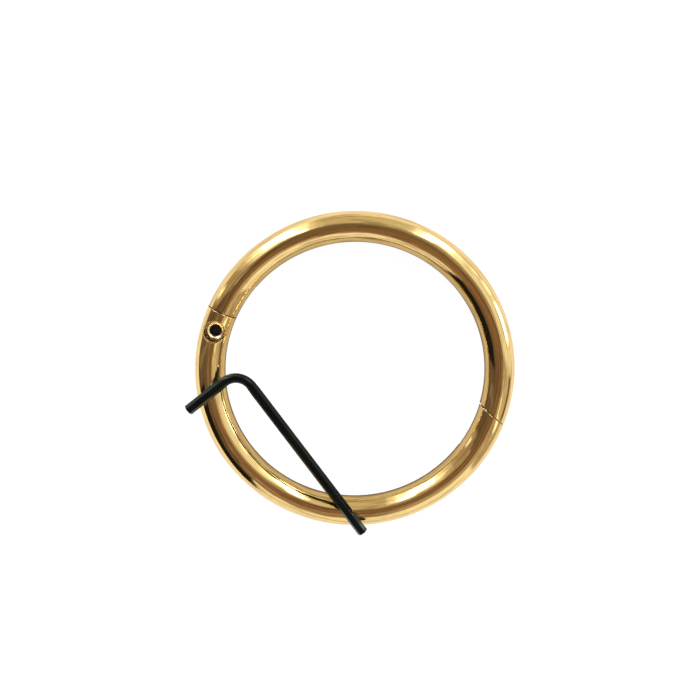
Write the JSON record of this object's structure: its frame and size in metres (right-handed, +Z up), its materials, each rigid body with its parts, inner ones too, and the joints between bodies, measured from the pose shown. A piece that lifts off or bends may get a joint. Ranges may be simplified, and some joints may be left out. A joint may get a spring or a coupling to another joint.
{
  "type": "hinged locking ring",
  "caption": "Round-bar ring in two halves with a hidden pinned hinge, a tongue-and-fork lock held by a recessed hex socket set screw, and an L-shaped hex key lying across it.",
  "frame": {"origin": "middle of the footprint of the ring and its key, on the flat surface that the ring lies on", "axes": "+Z up, along the ring's axis; +X from the ring's centre towards the hinge side; +Y towards the middle of the upper half"},
  "size_m": [0.0871, 0.086, 0.0107],
  "materials": {
    "gold_plate": "polished, gold-plated",
    "bare_steel": "plain machined stainless steel",
    "oxide_black": "black oxide, lightly oiled"
  },
  "bodies": {
    "lower": {"lower_half": "gold_plate", "hinge_pin": "bare_steel"},
    "upper": {"upper_half": "gold_plate", "hinge_leaf": "bare_steel", "leaf_pin_1": "bare_steel", "leaf_pin_2": "bare_steel", "lock_tongue": "bare_steel", "tongue_pin_1": "bare_steel", "tongue_pin_2": "bare_steel"},
    "screw": {"lock_screw": "gold_plate"},
    "key": {"hex_key": "oxide_black"}
  },
  "joints": [
    {"name": "hinge_swing", "type": "hinge", "parent": "lower", "child": "upper", "pos_m": [0.0351, -0.01955, 0.00375], "axis": [0, 0, -1], "range_deg": [0, 90]},
    {"name": "screw_drive", "type": "slide", "parent": "upper", "child": "screw", "axis": [0, 0, -1], "range_m": [0, 0.001]},
    {"name": "key_lift", "type": "slide", "parent": "lower", "child": "key", "axis": [0, 0, 1], "range_m": [0, 0.06]}
  ]
}
